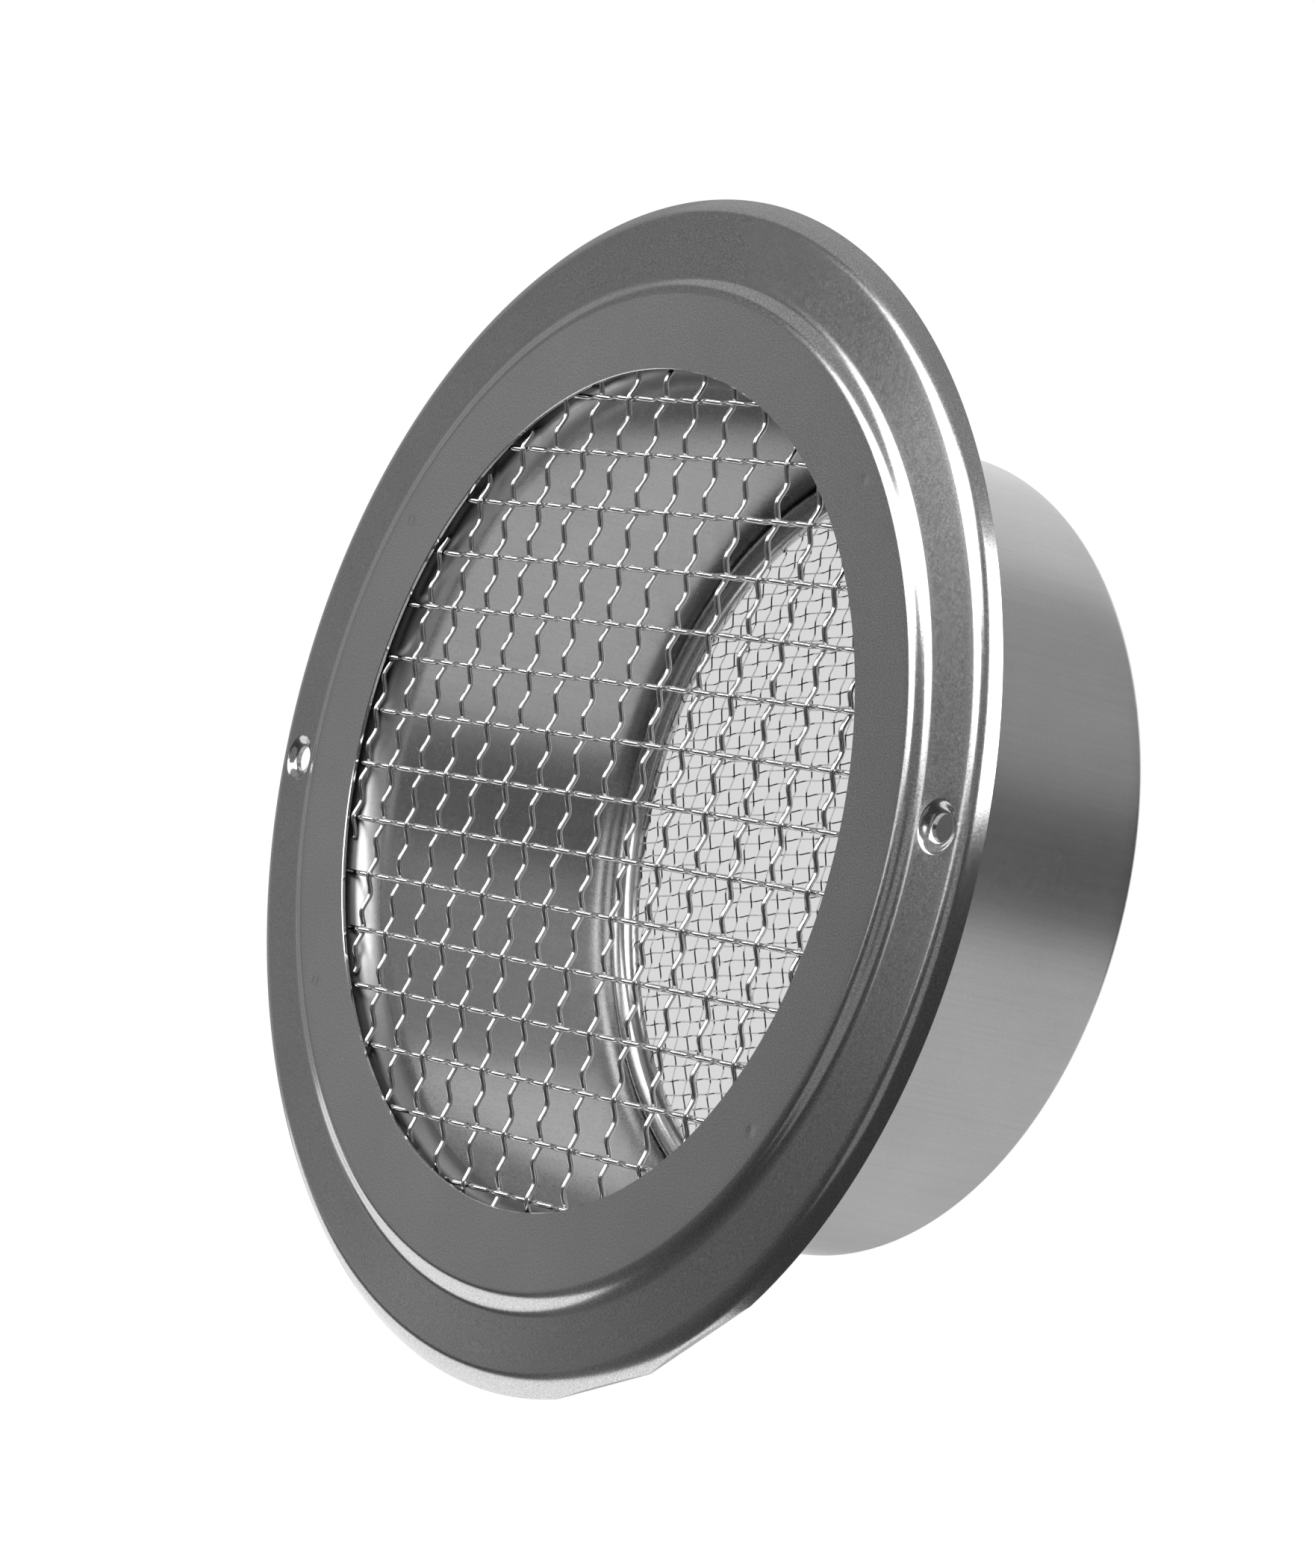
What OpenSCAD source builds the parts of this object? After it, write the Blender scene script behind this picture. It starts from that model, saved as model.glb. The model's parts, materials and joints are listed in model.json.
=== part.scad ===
// Round eave vent in stainless steel sheet, to close a 150 mm duct under an eave.
// Its axis lies along Y: the face looks towards -Y and the spigot points towards +Y.
// The origin is on the axis, in the plane where the rim of the face plate meets the wall.

/* [Face plate] */
// Outer diameter of the face plate
plate_d = 212; // [210:1:225]
// Diameter of the opening in the face plate
opening_d = 149; // [130:1:150]
// Thickness of the face plate sheet
plate_t = 0.8; // [0.5:0.1:1]
// Height of the inner ring in front of the wall
plate_h = 4.8; // [4.6:0.1:8]
// Diameter of the middle of the step between the inner ring and the outer ring
step_d = 180.4; // [178:0.2:182]
// Height of the step
step_h = 1.45; // [1.4:0.05:1.8]
// Slope of the step
step_slope = 32; // [28:1:34]
// Radius of the front of the sheet at the top of the step
step_top_r = 4; // [3:0.1:4.8]
// Radius of the front of the sheet at the foot of the step
step_foot_r = 5; // [3:0.1:5.8]
// Slope of the outer ring towards the wall
ring_slope = 3.9; // [3:0.1:5]
// Slope of the rim that turns back to the wall
rim_slope = 47; // [45:1:60]
// Radius of the front of the sheet where it turns into the rim
rim_bend_r = 4.9; // [3:0.1:5]
// Straight trims of the rim, each with its angle and its depth
rim_trims = [[288, 0.9], [302, 1]];

/* [Screw holes] */
// Diameter of the two screw holes
screw_hole_d = 4.8; // [3.5:0.1:5.5]
// Diameter of the pressed dimple around each screw hole
dimple_d = 8.4; // [7:0.1:9]
// Depth of the dimple
dimple_h = 1.1; // [0.8:0.1:1.4]

/* [Spigot] */
// Outer diameter of the spigot
spigot_d = 147; // [142:1:149]
// Distance that the spigot reaches behind the wall plane
spigot_len = 60; // [40:1:120]
// Thickness of the spigot sheet
spigot_t = 0.6; // [0.4:0.1:1]
// Share of the room between the tube and the step that the flare takes, with the flange in the rest
flare_share = 0.634; // [0.58:0.002:0.68]
// Width of the lip turned in at the rear of the spigot
lip_w = 4; // [3:0.5:5]
// Outside radius of the bend between the spigot and its lip
lip_r = 1.6; // [1.2:0.1:2]

/* [Spot welds] */
// Angles of the spot welds, anticlockwise from the right-hand screw hole
weld_angles = [41, 147, 209, 321];
// Diameter of the mark that a spot weld leaves
weld_mark_d = 3; // [2:0.1:4]
// Depth of the mark
weld_mark_h = 0.1; // [0.1:0.05:0.3]

/* [Guard mesh] */
// Diameter of the guard wires
guard_wire_d = 1; // [0.6:0.1:1.2]
// Distance between neighbouring guard wires
guard_pitch = 10.1; // [8:0.1:16]
// Number of crimps in one pitch, odd so that the wires weave
guard_crimps = 3; // [1:2:3]
// Height that the middle of the guard mesh bulges towards the front
guard_crown = 2.6; // [0:0.1:3]
// Turn of the upright wires, clockwise
guard_turn_x = 2.3; // [-10:0.1:10]
// Turn of the level wires, clockwise from the line of the screw holes
guard_turn_z = 1.3; // [-10:0.1:10]
// Distance from the axis to the middle upright wire, towards the right
guard_shift_x = -2.6; // [-5:0.1:5]
// Distance from the axis to the middle level wire, downwards
guard_shift_z = 1.4; // [-5:0.1:5]

/* [Insect mesh] */
// Diameter of the insect mesh wires
insect_wire_d = 0.28; // [0.2:0.02:0.4]
// Distance between neighbouring upright wires
insect_pitch_x = 4.3; // [3:0.1:8]
// Distance between neighbouring level wires
insect_pitch_z = 2.7; // [2:0.1:8]
// Height that the middle of the insect mesh bulges towards the front
insect_crown = 7; // [4:0.5:10]
// Turn of the upright wires, clockwise
insect_turn_x = -3; // [-20:0.5:20]
// Turn of the level wires, clockwise
insect_turn_z = -6.5; // [-20:0.5:20]

/* [Retaining ring] */
// Width of the half-round ring that holds the insect mesh
ring_w = 6; // [4:0.5:8]
// Thickness of the sheet of the ring
ring_t = 0.6; // [0.4:0.1:0.8]

/* [Clearances] */
// Gap between the guard mesh and the face plate or the flare
guard_gap = 0.15; // [0.05:0.05:0.3]
// Gap between two guard wires where they cross
weave_gap = 0.08; // [0.06:0.02:0.2]
// Gap between the two layers of insect mesh wires
layer_gap = 0.02; // [0.01:0.01:0.1]
// Gap between the insect mesh and the pieces that clamp it
clamp_gap = 0.05; // [0.02:0.01:0.2]
// Gap between the retaining ring and the inside of the spigot
ring_gap = 0.05; // [0.02:0.01:0.2]

/* [Hidden] */

// Facets of a large circle, of a small bend and of a thin wire, and steps of a bend of the face plate
$fn = 180;
bend_fn = 64;
bend_steps = 10;
wire_fn = 24;
// Sides of a crimped wire
guard_sides = 5;
// Overlap that makes cuts and joined pieces run into each other cleanly
eps = 0.01;

// Radii of the face plate, and Y of the front and of the back of its inner ring
plate_r = plate_d / 2;
opening_r = opening_d / 2;
front_y = -plate_h;
ring_back_y = front_y + plate_t;

// Corners of the front of the sheet before its bends are rounded, as radius and Y
step_half_w = step_h / 2 / tan(step_slope);
step_top = [step_d / 2 - step_half_w, front_y];
step_foot = [step_d / 2 + step_half_w, front_y + step_h];
rim_corner_r = (plate_r * tan(rim_slope) + step_foot.y - step_foot.x * tan(ring_slope))
    / (tan(rim_slope) - tan(ring_slope));
rim_corner = [rim_corner_r, (rim_corner_r - plate_r) * tan(rim_slope)];

// Length that each bend takes from the straight stretches on either side of its corner
step_top_len = step_top_r * tan(step_slope / 2);
step_foot_len = step_foot_r * tan((step_slope - ring_slope) / 2);
rim_bend_len = rim_bend_r * tan((rim_slope - ring_slope) / 2);

// The flat inner ring ends at inner_ring_r, and the screw holes lie half-way across the outer ring
inner_ring_r = step_top.x - step_top_len;
outer_ring_start = along(step_foot, ring_slope, step_foot_len);
outer_ring_end = along(rim_corner, ring_slope, -rim_bend_len);
screw_r = (outer_ring_start.x + outer_ring_end.x) / 2;
screw_y = (outer_ring_start.y + outer_ring_end.y) / 2;

// Centres of the bends
step_top_centre = [inner_ring_r, front_y + step_top_r];
step_foot_centre = along(outer_ring_start, ring_slope - 90, step_foot_r);
rim_bend_centre = along(outer_ring_end, ring_slope + 90, rim_bend_r);

// Radii of the spigot, and the flange that is welded behind the inner ring
spigot_r = spigot_d / 2;
bore_r = spigot_r - spigot_t;
weld_flange_r = inner_ring_r - plate_t;
flare_r = flare_share * (weld_flange_r - bore_r);
flare_start_r = bore_r + flare_r;
flare_end_y = ring_back_y + flare_r;
weld_r = (flare_start_r + weld_flange_r) / 2;
lip_y = spigot_len - spigot_t;

// The guard wires swing to either side of a mesh surface that meets the opening at guard_y,
// so that they lie against the back of the face plate and end in the pocket before the flare
guard_swing = (guard_wire_d + weave_gap) / 2;
guard_y = ring_back_y + guard_gap + guard_swing + guard_wire_d / 2;
guard_back_y = guard_y + guard_swing + guard_wire_d / 2 + guard_gap;
guard_r = flare_radius(guard_back_y) - guard_gap;
guard_count = ceil(guard_r / guard_pitch);
crimp_len = guard_pitch / guard_crimps;
// Least stretch of a wire between its last bend and its end
guard_end = 0.05;
// Slide of the crossings along a wire, for each millimetre that the wire lies from the axis
guard_lean = tan(guard_turn_x - guard_turn_z);

// The insect mesh is part of a sphere whose centre is behind it
insect_r = bore_r - lip_r;
insect_y = lip_y - clamp_gap - 2 * insect_wire_d - layer_gap / 2;
insect_ball_r = (insect_r * insect_r + insect_crown * insect_crown) / (2 * insect_crown);
insect_ball_y = insect_y - insect_crown + insect_ball_r;
insect_layer = (insect_wire_d + layer_gap) / 2;

// The ring's inner edge stands on the front of the insect mesh
ring_r = bore_r - ring_gap - ring_w / 2;
ring_edge_r = ring_r - ring_w / 2;
ring_front_r = insect_ball_r + insect_layer + insect_wire_d / 2 + clamp_gap;
ring_y = insect_ball_y - sqrt(ring_front_r * ring_front_r - ring_edge_r * ring_edge_r);

// Point at a distance from another one, in the direction of a slope
function along(point, slope, distance) = point + distance * [cos(slope), sin(slope)];

// Points on an arc from one direction to another, where 0 points outwards and 90 to the back
function arc_points(centre, radius, from, to) =
    [for (i = [0 : bend_steps]) along(centre, from + (to - from) * i / bend_steps, radius)];

// Line from the opening to the edge of the rim, at a depth behind the front of the sheet
function plate_line(depth) = concat(
    [[opening_r, front_y + depth]],
    arc_points(step_top_centre, step_top_r - depth, -90, step_slope - 90),
    arc_points(step_foot_centre, step_foot_r + depth, step_slope + 90, ring_slope + 90),
    arc_points(rim_bend_centre, rim_bend_r - depth, ring_slope - 90, rim_slope - 90),
    [[plate_r - depth / sin(rim_slope), 0]]);

// Radius of the front of the flare at a given Y
function flare_radius(y) =
    y >= flare_end_y ? bore_r
    : flare_start_r - sqrt(flare_r * flare_r - (flare_end_y - y) * (flare_end_y - y));

// Triangle wave with its peaks at whole numbers: 1 at 0, -1 at 1, 1 at 2
function zigzag(t) = (floor(t) % 2 == 0 ? 1 : -1) * (1 - 2 * (t - floor(t)));

// Y of a guard wire at a distance u along it, with the wire w from the axis
function guard_wire_y(u, w, shift, side) =
    guard_y - guard_crown * (1 - (u * u + w * w) / (opening_r * opening_r))
    + side * guard_swing * zigzag((u - shift) / crimp_len);

// Distances along a wire where it bends, with its two ends
function guard_stations(half, shift) = concat(
    [-half],
    [for (k = [ceil((guard_end - half - shift) / crimp_len)
               : floor((half - guard_end - shift) / crimp_len)])
        shift + k * crimp_len],
    [half]);

// Spins a profile drawn as radius and Y around the axis of the vent
module spin() {
    rotate([-90, 0, 0]) rotate_extrude() children();
}

// Quarter of a sheet bend: sx and sy say on which side of its centre it lies
module bend(centre, outside_r, sheet_t, sx, sy) {
    translate(centre) intersection() {
        difference() {
            circle(r = outside_r, $fn = bend_fn);
            circle(r = outside_r - sheet_t, $fn = bend_fn);
        }
        translate([sx > 0 ? 0 : -outside_r, sy > 0 ? 0 : -outside_r]) square(outside_r);
    }
}

// Flat stretch of sheet between two radii
module flat(r1, r2, y, sheet_t) {
    translate([r1, y]) square([r2 - r1, sheet_t]);
}

module plate_profile() {
    back = plate_line(plate_t);
    polygon(concat(plate_line(0), [for (i = [len(back) - 1 : -1 : 0]) back[i]]));
}

module spigot_profile() {
    flat(flare_start_r, weld_flange_r, ring_back_y, spigot_t);
    bend([flare_start_r, flare_end_y], flare_r, spigot_t, -1, -1);
    translate([bore_r, flare_end_y]) square([spigot_t, spigot_len - lip_r - flare_end_y]);
    bend([spigot_r - lip_r, spigot_len - lip_r], lip_r, spigot_t, 1, 1);
    flat(spigot_r - lip_w, spigot_r - lip_r, lip_y, spigot_t);
}

// Cone along Y, from radius r1 at y1 to radius r2 at y2
module cone(r1, y1, r2, y2) {
    translate([0, y1, 0]) rotate([-90, 0, 0]) cylinder(r1 = r1, r2 = r2, h = y2 - y1, $fn = bend_fn);
}

// Cone around a screw hole that follows the wall of its dimple, from one depth to another
module dimple_cone(depth1, depth2) {
    widening = (dimple_d - screw_hole_d) / 2 / dimple_h;
    cone(dimple_d / 2 - widening * depth1, screw_y + depth1, dimple_d / 2 - widening * depth2, screw_y + depth2);
}

// Sheet that the dimple pushes back around a screw hole
module dimple_wall() {
    translate([0, plate_t, 0]) dimple_cone(-plate_t / 2, dimple_h);
}

// Space in front of the dimple, and the screw hole through it
module dimple_cut() {
    dimple_cone(-plate_t, dimple_h);
    translate([0, screw_y, 0]) rotate([-90, 0, 0])
        cylinder(d = screw_hole_d, h = dimple_h + plate_t + eps, $fn = bend_fn);
}

// Shallow round dent of a spot weld
module weld_mark() {
    dent_r = (weld_mark_d * weld_mark_d / 4 + weld_mark_h * weld_mark_h) / (2 * weld_mark_h);
    translate([weld_r, front_y + weld_mark_h - dent_r, 0]) sphere(r = dent_r, $fn = bend_fn);
}

// Space outside a straight trim of the rim
module rim_trim(angle, depth) {
    rotate([0, -angle, 0]) translate([plate_r - depth, front_y - eps, -plate_r / 2])
        cube([2 * depth, plate_h + 2 * eps, plate_r]);
}

module face_plate() color("silver") difference() {
    union() {
        spin() plate_profile();
        for (side = [-1, 1]) translate([side * screw_r, 0, 0]) dimple_wall();
    }
    for (side = [-1, 1]) translate([side * screw_r, 0, 0]) dimple_cut();
    for (angle = weld_angles) rotate([0, -angle, 0]) weld_mark();
    for (trim = rim_trims) rim_trim(trim[0], trim[1]);
}

module spigot() color("lightgray") spin() spigot_profile();

// One crimped wire along X, at a height w
module guard_wire(w, shift, side) {
    edge_w = abs(w) + guard_wire_d / 2;
    half = sqrt(guard_r * guard_r - edge_w * edge_w);
    stations = guard_stations(half, shift);
    last = len(stations) - 1;
    points = [for (u = stations, k = [0 : guard_sides - 1])
        let (a = 360 * k / guard_sides)
        [u, guard_wire_y(u, w, shift, side) + guard_wire_d / 2 * cos(a),
         w + guard_wire_d / 2 * sin(a)]];
    walls = [for (i = [0 : last - 1], k = [0 : guard_sides - 1])
        let (a = i * guard_sides + k, b = i * guard_sides + (k + 1) % guard_sides)
        [a, b, b + guard_sides, a + guard_sides]];
    ends = [[for (k = [guard_sides - 1 : -1 : 0]) k],
            [for (k = [0 : guard_sides - 1]) last * guard_sides + k]];
    polyhedron(points, concat(walls, ends));
}

// Parallel crimped wires, with parity 1 where the middle wire goes behind at its first crossing
module guard_wires(shift_u, shift_w, lean, parity) {
    for (k = [-guard_count : guard_count]) {
        w = shift_w + k * guard_pitch;
        if (abs(w) < guard_r - guard_wire_d)
            guard_wire(w, shift_u + lean * w, k % 2 == 0 ? parity : -parity);
    }
}

module guard_warp_wires() color("whitesmoke")
    rotate([0, guard_turn_x + 90, 0]) guard_wires(guard_shift_z, guard_shift_x, -guard_lean, -1);

module guard_weft_wires() color("gainsboro")
    rotate([0, guard_turn_z, 0]) guard_wires(guard_shift_x, -guard_shift_z, guard_lean, 1);

module mesh_ring() color("darkgray") spin() intersection() {
    difference() {
        translate([ring_r, ring_y]) circle(d = ring_w, $fn = bend_fn);
        translate([ring_r, ring_y]) circle(d = ring_w - 2 * ring_t, $fn = bend_fn);
    }
    translate([ring_edge_r, ring_y - ring_w / 2]) square([ring_w, ring_w / 2]);
}

// Parallel arcs of wire along X, on a sphere of the given radius behind the mesh
module insect_wires(pitch, ball_r) {
    count = ceil(insect_r / pitch);
    for (k = [-count : count]) {
        w = (k + 0.5) * pitch;
        if (abs(w) < insect_r - pitch / 2) {
            arc_r = sqrt(ball_r * ball_r - w * w);
            half_angle = asin(sqrt(insect_r * insect_r - w * w) / arc_r);
            translate([0, insect_ball_y, w]) rotate([0, 0, -90 - half_angle])
                rotate_extrude(angle = 2 * half_angle)
                    translate([arc_r, 0]) circle(d = insect_wire_d, $fn = wire_fn);
        }
    }
}

module insect_warp_wires() color("dimgray")
    rotate([0, insect_turn_x + 90, 0]) insect_wires(insect_pitch_x, insect_ball_r + insect_layer);

module insect_weft_wires() color("gray")
    rotate([0, insect_turn_z, 0]) insect_wires(insect_pitch_z, insect_ball_r - insect_layer);

face_plate();
spigot();
guard_warp_wires();
guard_weft_wires();
mesh_ring();
insect_warp_wires();
insect_weft_wires();
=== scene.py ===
import json
from math import asin, atan2, ceil, cos, degrees, hypot, pi, radians, sin, sqrt, tan

import bmesh
import bpy
from mathutils import Matrix, Vector

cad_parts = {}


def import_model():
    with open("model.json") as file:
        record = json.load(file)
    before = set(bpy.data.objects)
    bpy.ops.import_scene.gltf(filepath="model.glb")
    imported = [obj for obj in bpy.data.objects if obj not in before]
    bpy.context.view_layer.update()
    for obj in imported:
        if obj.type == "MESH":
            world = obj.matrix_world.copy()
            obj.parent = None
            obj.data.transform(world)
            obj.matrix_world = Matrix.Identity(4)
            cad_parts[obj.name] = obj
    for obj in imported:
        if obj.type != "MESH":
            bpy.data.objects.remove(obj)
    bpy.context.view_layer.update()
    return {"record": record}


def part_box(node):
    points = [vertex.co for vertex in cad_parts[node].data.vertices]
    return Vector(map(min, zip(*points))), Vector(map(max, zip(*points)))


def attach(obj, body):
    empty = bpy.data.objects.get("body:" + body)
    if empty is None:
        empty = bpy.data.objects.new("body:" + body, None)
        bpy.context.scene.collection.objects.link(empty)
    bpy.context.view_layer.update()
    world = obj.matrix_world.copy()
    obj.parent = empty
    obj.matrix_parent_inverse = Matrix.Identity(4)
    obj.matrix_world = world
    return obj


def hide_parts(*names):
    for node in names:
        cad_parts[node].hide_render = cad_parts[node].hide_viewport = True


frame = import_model()

# Sizes are in millimetres, in the frame of the part, and every mesh is made in metres.
# The axis of the vent lies along Y, and its face looks towards -Y.
MM = 0.001
mounts = {mount["name"]: mount for mount in frame["record"]["mounts"]}

# Sizes that the frame gives
front_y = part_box("face_plate")[0].y / MM
rear_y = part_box("spigot")[1].y / MM
spigot_r = mounts["spigot"]["dims"]["r_mm"]
screw_r = mounts["screw_holes"]["dims"]["spacing_x_mm"] / 2
hole_r = mounts["screw_holes"]["dims"]["hole_r_mm"]

# Face plate
PLATE_R = 106.0
OPENING_R = 74.5
PLATE_T = 0.8
STEP_R = 90.2
STEP_H = 1.45
STEP_SLOPE = radians(32)
STEP_TOP_R = 4.0
STEP_FOOT_R = 5.0
RING_SLOPE = radians(3.9)
RIM_SLOPE = radians(47)
RIM_BEND_R = 4.9
RIM_TRIMS = ((288, 0.9), (302, 1.0))
DIMPLE_R = 4.7
DIMPLE_H = 1.1
WELD_ANGLES = (41, 147, 209, 321)
WELD_R = 1.5
WELD_H = 0.05

# Spigot
SPIGOT_T = 0.6
FLARE_R = 9.0
LIP_W = 4.0
LIP_R = 1.6
OUTSIDE_DULL = 0.06

# Guard mesh
GUARD_R = 0.5
GUARD_PITCH = 10.1
GUARD_CRIMPS = 3
GUARD_CROWN = 2.6
GUARD_TURN_X = radians(2.3)
GUARD_TURN_Z = radians(1.3)
GUARD_SHIFT_X = -2.6
GUARD_SHIFT_Z = 1.4
GUARD_GAP = 0.15
WEAVE_GAP = 0.08

# Insect mesh and the ring that holds it
INSECT_R = 0.14
INSECT_PITCH_X = 4.3
INSECT_PITCH_Z = 2.7
INSECT_CROWN = 7.0
INSECT_TURN_X = radians(-3)
INSECT_TURN_Z = radians(-6.5)
LAYER_GAP = 0.02
INSECT_FLANK = 0.21
CLAMP_GAP = 0.05
RING_W = 6.0
RING_T = 0.6
RING_GAP = 0.05

# How finely round shapes are cut
COLUMNS = 360
BEND_STEPS = 14
DIMPLE_COLUMNS = 72
GUARD_SIDES = 12
CRIMP_STEPS = 6
INSECT_SIDES = 6
WEAVE_STEPS = 6

# Light on the floor and from the world
FLOOR_Z = -0.26
FLOOR_SIZE = 40.0
FLOOR_PALE = 0.8
WORLD_LIGHT = 0.6
SUN_POWER = 1.2
SUN_WIDTH = radians(60)
SUN_LEAN = radians(15)

# Light grey part of the backdrop behind the insect mesh: where its middle lies as seen from the
# vent, its half width and half height as shares of the distance, and how far it fades to white
BACKDROP_MIDDLE = (-0.808, 0.585, 0.051)
BACKDROP_SIZE = (0.042, 0.068, 1)
BACKDROP_GREY = 0.69
BACKDROP_FADE = 1.35

# What the steel reflects, on sheets round the vent: name, distance, and stations of azimuth from
# the front towards the right, each with its lowest and highest elevation and its brightness
CARDS = (
    ("left_window", 3.0, ((-43, 12, 24, 2.5), (-36, 9, 30, 4.0), (-20, 8, 36, 4.0), (-9, 9, 37, 3.5),
                          (-7, 20, 38, 3.5), (3, 24, 40, 3.5))),
    ("right_window", 3.0, ((27, 6, 42, 3.5), (44, 6, 42, 3.5), (50, 22, 50, 3.0), (60, 28, 60, 3.0),
                           (116, 28, 62, 2.4))),
    ("window_sill", 3.1, ((44, 6, 24, 0.5), (112, 8, 30, 0.5))),
    ("mullion", 3.1, ((-10, 5, 36, 0.16), (30, 5, 36, 0.16))),
    ("dark_room", 3.2, ((-80, -14, -8, 0.3), (-70, -16, -8, 0.28), (-62, -19, -8, 0.28), (-57, -23, -7, 0.24),
                        (-52, -34, -6, 0.16), (-47, -47, -5, 0.1), (-42, -58, -4, 0.09), (-20, -61, 6, 0.05),
                        (-12, -67, 6, 0.05), (-5, -90, 6, 0.05), (112, -90, 6, 0.05))),
    ("table_edge", 3.15, ((-82, -15, -12, 0.07), (-62, -19, -12, 0.07), (-54, -30, -12, 0.06))),
    ("front_strip", 3.0, ((-11, -30, 5, 0.22), (11, -30, 5, 0.22))),
    ("left_wall", 3.3, ((-125, -9, 34, 0.3), (-90, -9, 34, 0.3), (-68, -9, 34, 0.19), (-62, -9, 34, 0.2),
                        (-57, -9, 34, 0.3), (-53, -9, 34, 0.2), (-48, -9, 34, 0.12), (-38, -9, 34, 0.11))),
    ("left_shade", 3.2, ((-75, 12, 34, 0.18), (-57, 12, 34, 0.17), (-45, 12, 34, 0.1))),
    ("ceiling", 3.5, ((-125, 33, 90, 0.4), (-60, 33, 90, 0.34), (0, 33, 90, 0.26), (178, 33, 90, 0.3))),
    ("right_wall", 3.1, ((112, -12, 60, 0.3), (122, -12, 60, 0.24), (178, -12, 60, 0.28))),
    ("rear_table", 3.1, ((112, -90, -12, 0.55), (212, -90, -12, 0.6), (240, -90, -20, 0.45))),
    ("rear_ceiling", 3.2, ((178, 33, 90, 0.7), (240, 33, 90, 0.75))),
    ("right_gap", 3.0, ((118, -12, 17, 0.06), (179, -12, 17, 0.06))),
)

# Radii and planes that follow from the sizes
opening_edge = 0.12
step_half_w = STEP_H / 2 / tan(STEP_SLOPE)
step_foot_r, step_foot_y = STEP_R + step_half_w, front_y + STEP_H
inner_ring_r = STEP_R - step_half_w - STEP_TOP_R * tan(STEP_SLOPE / 2)
rim_corner_r = (PLATE_R * tan(RIM_SLOPE) + step_foot_y - step_foot_r * tan(RING_SLOPE))
rim_corner_r /= tan(RIM_SLOPE) - tan(RING_SLOPE)
ring_back_y = front_y + PLATE_T
bore_r = spigot_r - SPIGOT_T
flare_start_r = bore_r + FLARE_R
flare_end_y = ring_back_y + FLARE_R
weld_flange_r = inner_ring_r - PLATE_T
weld_r = (flare_start_r + weld_flange_r) / 2
lip_y = rear_y - SPIGOT_T

guard_swing = GUARD_R + WEAVE_GAP / 2
guard_y = ring_back_y + GUARD_GAP + guard_swing + GUARD_R
guard_back_y = guard_y + guard_swing + GUARD_R + GUARD_GAP
guard_edge_r = flare_start_r - sqrt(FLARE_R ** 2 - (flare_end_y - guard_back_y) ** 2) - GUARD_GAP
crimp_len = GUARD_PITCH / GUARD_CRIMPS
guard_lean = tan(GUARD_TURN_X - GUARD_TURN_Z)

insect_edge_r = bore_r - LIP_R
insect_edge_y = lip_y - CLAMP_GAP - 2 * (2 * INSECT_R) - LAYER_GAP / 2
insect_ball_r = (insect_edge_r ** 2 + INSECT_CROWN ** 2) / (2 * INSECT_CROWN)
insect_ball_y = insect_edge_y - INSECT_CROWN + insect_ball_r
ring_r = bore_r - RING_GAP - RING_W / 2
ring_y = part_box("mesh_ring")[1].y / MM


def arc(centre_r, centre_y, radius, start, end, steps=BEND_STEPS):
    """Points (radius, y) on an arc from one angle to another, where 0 points outwards and 90 backwards."""
    turns = [radians(start + (end - start) * i / steps) for i in range(steps + 1)]
    return [(centre_r + radius * cos(a), centre_y + radius * sin(a)) for a in turns]


def line(r1, y1, r2, y2, steps):
    """Points inside a straight stretch, without its two ends."""
    return [(r1 + (r2 - r1) * i / steps, y1 + (y2 - y1) * i / steps) for i in range(1, steps)]


def ring_front(r):
    """Y of the front of the sloping outer ring at a radius."""
    return step_foot_y + (r - step_foot_r) * tan(RING_SLOPE)


def bend(corner_r, corner_y, slope1, slope2, radius, depth):
    """Bend of the plate round a corner of its front, at a depth behind the front."""
    side = 1 if slope2 > slope1 else -1
    before = radius * tan(abs(slope2 - slope1) / 2)
    centre_r = corner_r - before * cos(slope1) - side * radius * sin(slope1)
    centre_y = corner_y - before * sin(slope1) + side * radius * cos(slope1)
    turns = [slope - side * pi / 2 for slope in (slope1, slope2)]
    return arc(centre_r, centre_y, radius - side * depth, degrees(turns[0]), degrees(turns[1]))


def plate_line(depth):
    """Line of the plate from the opening to the edge of the rim, at a depth behind its front."""
    points = [(OPENING_R + opening_edge, front_y + depth)]
    points += line(OPENING_R, front_y + depth, inner_ring_r, front_y + depth, 8)
    points += bend(STEP_R - step_half_w, front_y, 0, STEP_SLOPE, STEP_TOP_R, depth)
    points += bend(step_foot_r, step_foot_y, STEP_SLOPE, RING_SLOPE, STEP_FOOT_R, depth)
    rim = bend(rim_corner_r, ring_front(rim_corner_r), RING_SLOPE, RIM_SLOPE, RIM_BEND_R, depth)
    points += line(*points[-1], *rim[0], 8) + rim
    return points + [(PLATE_R - depth / sin(RIM_SLOPE), 0)]


def plate_loop():
    """Section of the face plate: along its front from the opening to the rim, and back behind it."""
    mid_y = front_y + PLATE_T / 2
    edge = [(OPENING_R, mid_y + share * PLATE_T) for share in (0.32, 0, -0.32)]
    return plate_line(0) + plate_line(PLATE_T)[::-1] + edge


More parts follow.
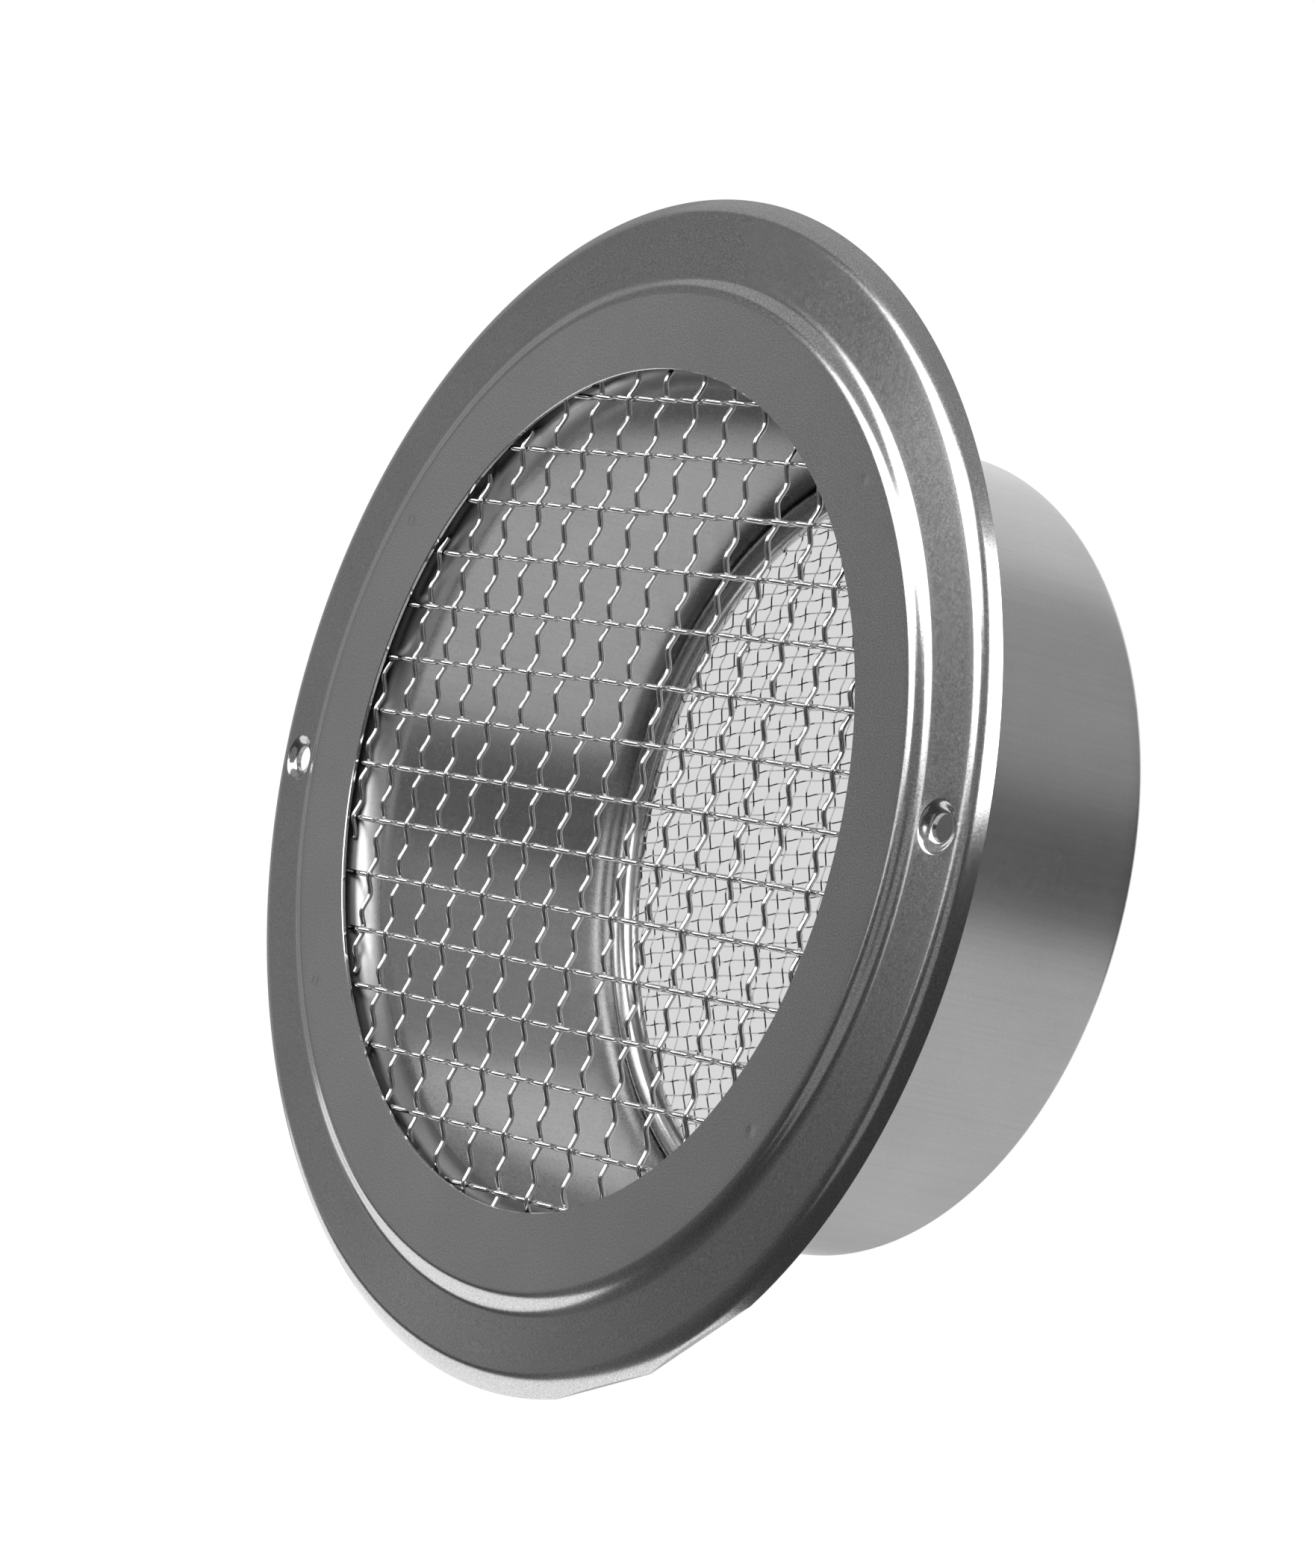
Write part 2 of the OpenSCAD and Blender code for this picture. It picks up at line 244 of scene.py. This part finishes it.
def spigot_loop():
    """Section of the spigot: along its inside from the flange to the lip, and back outside it."""
    loop = [(weld_flange_r, ring_back_y)]
    loop += arc(flare_start_r, flare_end_y, FLARE_R, 270, 180, 2 * BEND_STEPS)
    loop += line(bore_r, flare_end_y, bore_r, rear_y - LIP_R, 26)
    loop += arc(spigot_r - LIP_R, rear_y - LIP_R, LIP_R - SPIGOT_T, 0, 90, 8)
    loop += [(spigot_r - LIP_W, lip_y), (spigot_r - LIP_W, rear_y)]
    loop += arc(spigot_r - LIP_R, rear_y - LIP_R, LIP_R, 90, 0, 8)
    loop += line(spigot_r, rear_y - LIP_R, spigot_r, flare_end_y, 26)
    loop += arc(flare_start_r, flare_end_y, FLARE_R - SPIGOT_T, 180, 270, 2 * BEND_STEPS)
    loop += [(weld_flange_r, ring_back_y + SPIGOT_T)]
    return loop


def ring_loop():
    """Section of the retaining ring: a half round that is hollow towards the insect mesh."""
    outer = arc(ring_r, ring_y, RING_W / 2, 180, 360, 2 * BEND_STEPS)
    return outer + arc(ring_r, ring_y, RING_W / 2 - RING_T, 360, 180, 2 * BEND_STEPS)


def place(r, angle, y):
    """Point at an angle, anticlockwise from +X as seen from the front."""
    return Vector((r * cos(angle), y, r * sin(angle)))


def lathe(loop):
    """Closed shell that a section makes when it turns round the axis."""
    bm = bmesh.new()
    rows = [[bm.verts.new(place(r, 2 * pi * k / COLUMNS, y)) for k in range(COLUMNS)] for r, y in loop]
    for i, row in enumerate(rows):
        below = rows[(i + 1) % len(rows)]
        for k in range(COLUMNS):
            after = (k + 1) % COLUMNS
            bm.faces.new((row[k], row[after], below[after], below[k]))
    return bm


def circle(bm, centre, radius, surface, depth):
    """Vertices of a circle at a depth behind a surface that gives Y for each radius."""
    verts = []
    for k in range(DIMPLE_COLUMNS):
        turn = 2 * pi * k / DIMPLE_COLUMNS
        x, z = centre.x + radius * cos(turn), centre.z + radius * sin(turn)
        verts.append(bm.verts.new((x, surface(hypot(x, z)) + depth, z)))
    return verts


def join_circles(bm, outer, inner):
    """Faces between two circles with as many vertices."""
    for k in range(len(outer)):
        after = (k + 1) % len(outer)
        bm.faces.new((outer[k], outer[after], inner[after], inner[k]))


def stitch(bm, outer, inner, centre):
    """Triangles between two loops round the same centre that have different numbers of vertices."""
    def angle(vert):
        return atan2(vert.co.z - centre.z, vert.co.x - centre.x)

    outer, inner = sorted(outer, key=angle), sorted(inner, key=angle)
    i = k = 0
    while i < len(outer) or k < len(inner):
        next_outer = angle(outer[i % len(outer)]) + 2 * pi * (i // len(outer))
        next_inner = angle(inner[k % len(inner)]) + 2 * pi * (k // len(inner))
        if k == len(inner) or (i < len(outer) and next_outer < next_inner):
            bm.faces.new((outer[i - 1], outer[i % len(outer)], inner[k - 1]))
            i += 1
        else:
            bm.faces.new((outer[i - 1], inner[k % len(inner)], inner[k - 1]))
            k += 1


def press(bm, centre, surface, rings):
    """Replaces a surface round a point by rings of (radius, depth), and returns the last ring."""
    clear = rings[0][0] + 0.6
    faces = [face for face in bm.faces
             if all(abs(vert.co.y - surface(hypot(vert.co.x, vert.co.z))) < 0.01 for vert in face.verts)
             and any(hypot(vert.co.x - centre.x, vert.co.z - centre.z) < clear for vert in face.verts)]
    edge_verts = {vert for face in faces for vert in face.verts}
    bmesh.ops.delete(bm, geom=faces, context="FACES")
    edge_verts = [vert for vert in edge_verts if vert.is_valid and vert.link_faces]
    circles = [circle(bm, centre, radius, surface, depth) for radius, depth in rings]
    stitch(bm, edge_verts, circles[0], centre)
    for outer, inner in zip(circles, circles[1:]):
        join_circles(bm, outer, inner)
    return circles[-1]


def dimple_rings():
    """Rings of a screw dimple: a round dish down to the hole."""
    steps = 16
    rings = []
    for i in range(steps + 1):
        share = i / steps
        rings.append((DIMPLE_R + (hole_r - DIMPLE_R) * share, DIMPLE_H * (1 - cos(pi * share)) / 2))
    return rings


def weld_rings():
    """Rings of a spot-weld mark: a shallow round dent."""
    steps = 8
    return [(WELD_R * (1 - i / (steps + 1)), WELD_H * (1 - cos(pi * i / steps)) / 2) for i in range(steps + 1)]


def trim(bm, angle, depth):
    """Straight cut that takes a depth off the rim at an angle."""
    outwards = place(1, radians(angle), 0)
    everything = list(bm.verts) + list(bm.edges) + list(bm.faces)
    bmesh.ops.bisect_plane(bm, geom=everything, plane_co=(PLATE_R - depth) * outwards, plane_no=outwards,
                           clear_outer=True)
    bmesh.ops.holes_fill(bm, edges=[edge for edge in bm.edges if edge.is_boundary])


def make_piece(name, bm, node, material, sharp=35):
    """Finishes a mesh as a piece that stands for a CAD node."""
    bmesh.ops.scale(bm, vec=(MM, MM, MM), verts=bm.verts)
    bmesh.ops.recalc_face_normals(bm, faces=bm.faces)
    mesh = bpy.data.meshes.new(name)
    bm.to_mesh(mesh)
    bm.free()
    for face in mesh.polygons:
        face.use_smooth = True
    mesh.set_sharp_from_angle(angle=radians(sharp))
    piece = bpy.data.objects.new(name, mesh)
    bpy.context.scene.collection.objects.link(piece)
    mesh.materials.append(material)
    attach(piece, "root")
    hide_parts(node)
    return piece


def face_plate(material):
    bm = lathe(plate_loop())
    for side in (-1, 1):
        centre = Vector((side * screw_r, 0, 0))
        front = press(bm, centre, ring_front, dimple_rings())
        back = press(bm, centre, lambda r: ring_front(r) + PLATE_T / cos(RING_SLOPE), dimple_rings())
        join_circles(bm, front, back)
    for angle in WELD_ANGLES:
        middle = press(bm, place(weld_r, radians(angle), 0), lambda r: front_y, weld_rings())
        bm.faces.new(middle)
    for angle, depth in RIM_TRIMS:
        trim(bm, angle, depth)
    return make_piece("face_plate_sheet", bm, "face_plate", material)


def spigot(material):
    return make_piece("spigot_sheet", lathe(spigot_loop()), "spigot", material)


def mesh_ring(material):
    return make_piece("retaining_ring", lathe(ring_loop()), "mesh_ring", material)


def tube(bm, points, radius, sides, side_dir):
    """Round wire along points that lie in a plane across side_dir."""
    last = len(points) - 1
    rings = []
    for i, point in enumerate(points):
        along = (points[min(i + 1, last)] - points[max(i - 1, 0)]).normalized()
        across = along.cross(side_dir).normalized()
        turns = [2 * pi * k / sides for k in range(sides)]
        rings.append([bm.verts.new(point + radius * (cos(a) * side_dir + sin(a) * across)) for a in turns])
    for ring, after in zip(rings, rings[1:]):
        join_circles(bm, ring, after)
    bm.faces.new(rings[0])
    bm.faces.new(rings[-1])
    return rings


def zigzag(t):
    """Wave of 1 at 0 and -1 at 1 with straight flanks and rounded peaks."""
    roundness = 0.7
    return asin(roundness * cos(pi * t)) / asin(roundness)


def in_plane(turn, u, w, y):
    """Point of a mesh that is turned clockwise by an angle, u along its wires and w across them."""
    return Vector((u * cos(turn) + w * sin(turn), y, w * cos(turn) - u * sin(turn)))


def guard_wires(turn, shift_u, shift_w, lean, parity):
    """Parallel crimped wires, where the middle one goes behind at its first crossing with parity 1."""
    bm = bmesh.new()
    across = in_plane(turn, 0, 1, 0)
    count = ceil(guard_edge_r / GUARD_PITCH)
    for k in range(-count, count + 1):
        w = shift_w + k * GUARD_PITCH
        if abs(w) >= guard_edge_r - 2 * GUARD_R:
            continue
        side = parity if k % 2 == 0 else -parity
        phase = shift_u + lean * w
        half = sqrt(guard_edge_r ** 2 - (abs(w) + GUARD_R) ** 2)
        steps = ceil(2 * half / crimp_len * CRIMP_STEPS)
        points = []
        for i in range(steps + 1):
            u = -half + 2 * half * i / steps
            crown = GUARD_CROWN * (1 - (u * u + w * w) / OPENING_R ** 2)
            swing = side * guard_swing * zigzag((u - phase) / crimp_len)
            points.append(in_plane(turn, u, w, guard_y - crown + swing))
        tube(bm, points, GUARD_R, GUARD_SIDES, across)
    return bm


def insect_wires(turn, pitch, other_pitch, parity, lit):
    """Parallel wires of a plain weave that bulges to the front like part of a ball, each marked by
    how far its flank faces the light, for a painted highlight and painted shade on the flanks.
    Flanks that go back along the wire face it where lit is 1."""
    bm = bmesh.new()
    flank = bm.verts.layers.float.new("flank")
    across = in_plane(turn, 0, 1, 0)
    count = ceil(insect_edge_r / pitch)
    for k in range(-count, count + 1):
        w = (k + 0.5) * pitch
        if abs(w) >= insect_edge_r - pitch / 2:
            continue
        side = parity if k % 2 == 0 else -parity
        half = sqrt(insect_edge_r ** 2 - w * w)
        steps = ceil(2 * half / other_pitch * WEAVE_STEPS)
        insect_swing = side * INSECT_FLANK * other_pitch / 2
        points, painted_light_marks = [], []
        for i in range(steps + 1):
            u = -half + 2 * half * i / steps
            ball = insect_ball_y - sqrt(insect_ball_r ** 2 - u * u - w * w)
            swing = insect_swing * zigzag(u / other_pitch - 0.5)
            points.append(in_plane(turn, u, w, ball + swing))
            # Painted light mark: which flank gets the painted highlight and which the painted shade.
            painted_light_marks.append(lit * side * cos(pi * u / other_pitch))
        for ring, mark in zip(tube(bm, points, INSECT_R, INSECT_SIDES, across), painted_light_marks):
            for vert in ring:
                vert[flank] = mark
    return bm


def guard_mesh(material):
    warp = guard_wires(GUARD_TURN_X + pi / 2, GUARD_SHIFT_Z, GUARD_SHIFT_X, -guard_lean, -1)
    make_piece("guard_warp", warp, "guard_warp_wires", material, 60)
    weft = guard_wires(GUARD_TURN_Z, GUARD_SHIFT_X, -GUARD_SHIFT_Z, guard_lean, 1)
    make_piece("guard_weft", weft, "guard_weft_wires", material, 60)


def insect_mesh(material):
    warp = insect_wires(INSECT_TURN_X + pi / 2, INSECT_PITCH_X, INSECT_PITCH_Z, 1, -1)
    make_piece("insect_warp", warp, "insect_warp_wires", material, 75)
    weft = insect_wires(INSECT_TURN_Z, INSECT_PITCH_Z, INSECT_PITCH_X, 1, 1)
    make_piece("insect_weft", weft, "insect_weft_wires", material, 75)


def math_node(nodes, links, operation, first, second):
    """Result of a sum on a socket and a socket or a number."""
    node = nodes.new("ShaderNodeMath")
    node.operation = operation
    links.new(first, node.inputs[0])
    if isinstance(second, (int, float)):
        node.inputs[1].default_value = second
    else:
        links.new(second, node.inputs[1])
    return node.outputs[0]


def noise(nodes, links, size, stretch=(1, 1, 1), detail=2):
    """Noise with spots of about a size in millimetres, longer along the axes with a larger stretch."""
    where = nodes.new("ShaderNodeTexCoord")
    local = nodes.new("ShaderNodeMapping")
    local.inputs["Scale"].default_value = [1 / share for share in stretch]
    links.new(where.outputs["Object"], local.inputs["Vector"])
    spots = nodes.new("ShaderNodeTexNoise")
    spots.inputs["Scale"].default_value = 1 / (size * MM)
    spots.inputs["Detail"].default_value = detail
    links.new(local.outputs["Vector"], spots.inputs["Vector"])
    return spots.outputs["Fac"]


def spread(nodes, links, value, low, high):
    """Brings the middle half of a noise to a range."""
    reach = nodes.new("ShaderNodeMapRange")
    reach.clamp = False
    reach.inputs["From Min"].default_value = 0.3
    reach.inputs["From Max"].default_value = 0.7
    reach.inputs["To Min"].default_value = low
    reach.inputs["To Max"].default_value = high
    links.new(value, reach.inputs["Value"])
    return reach.outputs["Result"]


def axis_distance(nodes, links):
    """Distance from the axis of the vent, in metres."""
    where = nodes.new("ShaderNodeTexCoord")
    across = nodes.new("ShaderNodeVectorMath")
    across.operation = "MULTIPLY"
    across.inputs[1].default_value = (1, 0, 1)
    links.new(where.outputs["Object"], across.inputs[0])
    length = nodes.new("ShaderNodeVectorMath")
    length.operation = "LENGTH"
    links.new(across.outputs["Vector"], length.inputs[0])
    return length.outputs["Value"]


def steel(name, colour, roughness, grain, wave=0.0, wave_size=30.0, grain_size=0.5, stretch=(1, 1, 1)):
    """Steel with a fine grain, broad faint blotches and, for sheet, a slight waviness."""
    material = bpy.data.materials.new(name)
    material.use_nodes = True
    nodes, links = material.node_tree.nodes, material.node_tree.links
    shader = nodes["Principled BSDF"]
    shader.inputs["Metallic"].default_value = 1
    fine = spread(nodes, links, noise(nodes, links, grain_size, stretch), 1 - grain, 1 + grain)
    broad = spread(nodes, links, noise(nodes, links, 18.0), 0.97, 1.03)
    tone = math_node(nodes, links, "MULTIPLY", fine, broad)
    tint = nodes.new("ShaderNodeMix")
    tint.name = "tone"
    tint.data_type = "RGBA"
    tint.blend_type = "MULTIPLY"
    tint.inputs["Factor"].default_value = 1
    tint.inputs["A"].default_value = (colour, colour, colour, 1)
    links.new(tone, tint.inputs["B"])
    links.new(tint.outputs["Result"], shader.inputs["Base Color"])
    rough = spread(nodes, links, noise(nodes, links, grain_size * 3, stretch), 0.93 * roughness, 1.07 * roughness)
    links.new(rough, shader.inputs["Roughness"])
    if wave:
        bump = nodes.new("ShaderNodeBump")
        bump.inputs["Distance"].default_value = wave * MM
        links.new(noise(nodes, links, wave_size, detail=1), bump.inputs["Height"])
        links.new(bump.outputs["Normal"], shader.inputs["Normal"])
    return material


def spigot_finish_and_painted_shade(material):
    """Makes the spigot's outside duller than its inside, and paints shade on its pocket behind the plate."""
    nodes, links = material.node_tree.nodes, material.node_tree.links
    shader = nodes["Principled BSDF"]
    distance = axis_distance(nodes, links)
    outside = math_node(nodes, links, "GREATER_THAN", distance, (spigot_r - SPIGOT_T / 2) * MM)
    rough = shader.inputs["Roughness"]
    more = math_node(nodes, links, "MULTIPLY", outside, OUTSIDE_DULL)
    links.new(math_node(nodes, links, "ADD", rough.links[0].from_socket, more), rough)
    # Painted shade: past the opening's edge the flare behind the plate is darkened to a fifth of its tone.
    pocket_painted_shade = nodes.new("ShaderNodeMapRange")
    pocket_painted_shade.inputs["From Min"].default_value = (OPENING_R + 0.3) * MM
    pocket_painted_shade.inputs["From Max"].default_value = (OPENING_R + 1.0) * MM
    pocket_painted_shade.inputs["To Min"].default_value = 1.0
    pocket_painted_shade.inputs["To Max"].default_value = 0.2
    links.new(distance, pocket_painted_shade.inputs["Value"])
    lines = spread(nodes, links, noise(nodes, links, 0.7, (1, 60, 1)), 0.97, 1.03)
    # The fine lines along the spigot are its grain; the pocket factor on them is painted shade.
    shade = math_node(nodes, links, "MULTIPLY", lines, pocket_painted_shade.outputs["Result"])
    tone = nodes["tone"].inputs["B"]
    links.new(math_node(nodes, links, "MULTIPLY", tone.links[0].from_socket, shade), tone)
    return material


def flank_painted_light(material, dark, light):
    """Paints a highlight on the flanks of woven wires that face the light, as white with little metal,
    and paints shade on the others, as dark metal.
    """
    nodes, links = material.node_tree.nodes, material.node_tree.links
    shader = nodes["Principled BSDF"]
    # Painted light: the mark picks the painted shade tone or the painted highlight tone for each flank.
    mark = nodes.new("ShaderNodeAttribute")
    mark.attribute_name = "flank"
    share = nodes.new("ShaderNodeMapRange")
    share.inputs["From Min"].default_value = -0.25
    share.inputs["From Max"].default_value = 0.25
    links.new(mark.outputs["Fac"], share.inputs["Value"])
    colour = nodes.new("ShaderNodeMix")
    colour.data_type = "RGBA"
    colour.inputs["A"].default_value = (dark, dark, dark, 1)
    colour.inputs["B"].default_value = (light, light, light, 1)
    links.new(share.outputs["Result"], colour.inputs["Factor"])
    links.new(colour.outputs["Result"], nodes["tone"].inputs["A"])
    # Painted highlight: the lit flanks lose their metal so that they show white.
    painted_highlight_metal_drop = math_node(nodes, links, "MULTIPLY", share.outputs["Result"], -0.95)
    links.new(math_node(nodes, links, "ADD", painted_highlight_metal_drop, 1.0), shader.inputs["Metallic"])
    return material


def camera():
    """Camera at the photograph's place, found from the circles of the opening, the rim and the rear end."""
    data = bpy.data.cameras.new("camera")
    data.sensor_fit = "AUTO"
    data.sensor_width = 36
    data.lens = 36 * 7215 / 2100
    back = Vector((0.813818, -0.57830, -0.057249)).normalized()
    level = Vector((0, 0, 1)).cross(back).normalized()
    rise = back.cross(level)
    roll = radians(10.60)
    right = level * cos(roll) + rise * sin(roll)
    up = back.cross(right)
    turned = Matrix((right, up, back)).transposed().to_4x4()
    turned.translation = Vector((0.77005, -0.53654, -0.05074))
    cam = bpy.data.objects.new("camera", data)
    cam.matrix_world = turned
    bpy.context.scene.collection.objects.link(cam)
    bpy.context.scene.camera = cam


def path_switch(nodes, links, seen_value, light_value):
    """Value for rays that show a surface to the camera, in a reflection or through glass, or another
    value for the light that the surface gives."""
    path = nodes.new("ShaderNodeLightPath")
    seen = path.outputs["Is Camera Ray"]
    for name in ("Is Glossy Ray", "Is Transmission Ray"):
        either = nodes.new("ShaderNodeMath")
        either.operation = "MAXIMUM"
        links.new(seen, either.inputs[0])
        links.new(path.outputs[name], either.inputs[1])
        seen = either.outputs[0]
    pick = nodes.new("ShaderNodeMapRange")
    pick.inputs["To Min"].default_value = light_value
    pick.inputs["To Max"].default_value = seen_value
    links.new(seen, pick.inputs["Value"])
    return pick.outputs["Result"]


def backdrop_tone(nodes, links):
    """White that falls to a light grey in the part of the backdrop that shows through the insect mesh."""
    direction = nodes.new("ShaderNodeTexCoord")
    local = nodes.new("ShaderNodeMapping")
    local.vector_type = "TEXTURE"
    local.inputs["Location"].default_value = BACKDROP_MIDDLE
    local.inputs["Rotation"].default_value = bpy.context.scene.camera.matrix_world.to_euler()
    local.inputs["Scale"].default_value = BACKDROP_SIZE
    links.new(direction.outputs["Generated"], local.inputs["Vector"])
    reach = nodes.new("ShaderNodeVectorMath")
    reach.operation = "LENGTH"
    links.new(local.outputs["Vector"], reach.inputs[0])
    tone = nodes.new("ShaderNodeMapRange")
    tone.interpolation_type = "SMOOTHSTEP"
    tone.inputs["From Min"].default_value = 1.0
    tone.inputs["From Max"].default_value = BACKDROP_FADE
    tone.inputs["To Min"].default_value = BACKDROP_GREY
    tone.inputs["To Max"].default_value = 1.0
    links.new(reach.outputs["Value"], tone.inputs["Value"])
    return tone.outputs["Result"]


def world():
    """White for the camera and in reflections, and greyer for the light that it gives."""
    data = bpy.data.worlds.new("studio")
    bpy.context.scene.world = data
    data.use_nodes = True
    nodes, links = data.node_tree.nodes, data.node_tree.links
    path = nodes.new("ShaderNodeLightPath")
    tone = nodes.new("ShaderNodeMix")
    tone.data_type = "RGBA"
    tone.inputs["A"].default_value = (1, 1, 1, 1)
    links.new(path.outputs["Is Camera Ray"], tone.inputs["Factor"])
    links.new(backdrop_tone(nodes, links), tone.inputs["B"])
    shade = nodes["Background"]
    links.new(tone.outputs["Result"], shade.inputs["Color"])
    links.new(path_switch(nodes, links, 1.0, WORLD_LIGHT), shade.inputs["Strength"])


def pale_floor():
    """Pale floor below the vent, white for the camera but for the soft shadow on it."""
    mesh = bpy.data.meshes.new("floor")
    half = FLOOR_SIZE / 2
    corners = [(x * half, y * half, FLOOR_Z) for x, y in ((-1, -1), (1, -1), (1, 1), (-1, 1))]
    mesh.from_pydata(corners, [], [(0, 1, 2, 3)])
    plane = bpy.data.objects.new("floor", mesh)
    bpy.context.scene.collection.objects.link(plane)
    plane.visible_glossy = False
    material = bpy.data.materials.new("floor_white")
    material.use_nodes = True
    nodes, links = material.node_tree.nodes, material.node_tree.links
    nodes.clear()
    diffuse = nodes.new("ShaderNodeBsdfDiffuse")
    diffuse.inputs["Color"].default_value = (FLOOR_PALE, FLOOR_PALE, FLOOR_PALE, 1)
    glow = nodes.new("ShaderNodeEmission")
    lit = FLOOR_PALE * (WORLD_LIGHT + SUN_POWER * cos(SUN_LEAN) / pi)
    links.new(path_switch(nodes, links, 1 - lit, 0.0), glow.inputs["Strength"])
    add = nodes.new("ShaderNodeAddShader")
    links.new(diffuse.outputs[0], add.inputs[0])
    links.new(glow.outputs[0], add.inputs[1])
    out = nodes.new("ShaderNodeOutputMaterial")
    links.new(add.outputs[0], out.inputs["Surface"])
    mesh.materials.append(material)


def soft_sun():
    """Wide soft light from above that gives the shadow on the floor."""
    data = bpy.data.lights.new("soft_sun", "SUN")
    data.angle = SUN_WIDTH
    data.energy = SUN_POWER
    light = bpy.data.objects.new("soft_sun", data)
    light.rotation_euler = (0, SUN_LEAN, 0)
    light.visible_glossy = False
    bpy.context.scene.collection.objects.link(light)


def card(name, distance, stations):
    """Glowing sheet round the vent that only reflections show."""
    verts, faces, tones = [], [], []
    rows = 12
    for (az1, low1, high1, tone1), (az2, low2, high2, tone2) in zip(stations, stations[1:]):
        steps = ceil((az2 - az1) / 5)
        for i in range(steps + 1):
            t = i / steps
            azimuth = radians(az1 + (az2 - az1) * t)
            low, high = low1 + (low2 - low1) * t, high1 + (high2 - high1) * t
            for k in range(rows + 1):
                rise = radians(low + (high - low) * k / rows)
                verts.append(distance * Vector((cos(rise) * sin(azimuth), -cos(rise) * cos(azimuth), sin(rise))))
                tones.append(tone1 + (tone2 - tone1) * t)
            if i:
                a = len(verts) - 2 * (rows + 1)
                b = a + rows + 1
                faces += [(a + k, b + k, b + k + 1, a + k + 1) for k in range(rows)]
    mesh = bpy.data.meshes.new(name)
    mesh.from_pydata(verts, [], faces)
    mesh.attributes.new("tone", "FLOAT", "POINT").data.foreach_set("value", tones)
    sheet = bpy.data.objects.new(name, mesh)
    bpy.context.scene.collection.objects.link(sheet)
    sheet.visible_camera = False
    sheet.visible_diffuse = False
    sheet.visible_transmission = False
    sheet.visible_shadow = False
    material = bpy.data.materials.new(name)
    material.use_nodes = True
    nodes, links = material.node_tree.nodes, material.node_tree.links
    nodes.clear()
    tone = nodes.new("ShaderNodeAttribute")
    tone.attribute_name = "tone"
    glow = nodes.new("ShaderNodeEmission")
    links.new(tone.outputs["Fac"], glow.inputs["Strength"])
    out = nodes.new("ShaderNodeOutputMaterial")
    links.new(glow.outputs[0], out.inputs["Surface"])
    mesh.materials.append(material)


camera()
world()
pale_floor()
soft_sun()
for name, distance, stations in CARDS:
    card(name, distance, stations)
face_plate(steel("face_steel_satin", 0.68, 0.16, 0.2, wave=0.05, grain_size=0.3))
# The spigot's steel carries a painted shade on its pocket behind the plate.
spigot_steel = steel("spigot_steel_satin_painted_shade", 0.66, 0.26, 0.05, wave=0.05, wave_size=50, grain_size=0.3)
spigot(spigot_finish_and_painted_shade(spigot_steel))
mesh_ring(steel("ring_steel_rolled", 0.7, 0.17, 0.05))
guard_mesh(steel("guard_wire_drawn", 0.8, 0.17, 0.05))
# The insect wires get a painted shade of 0.12 on one flank and a painted highlight of 1.0 on the other.
insect_mesh(flank_painted_light(steel("insect_wire_drawn_painted_light", 0.75, 0.25, 0.05), 0.12, 1.0))

bpy.context.scene.view_settings.view_transform = "Standard"
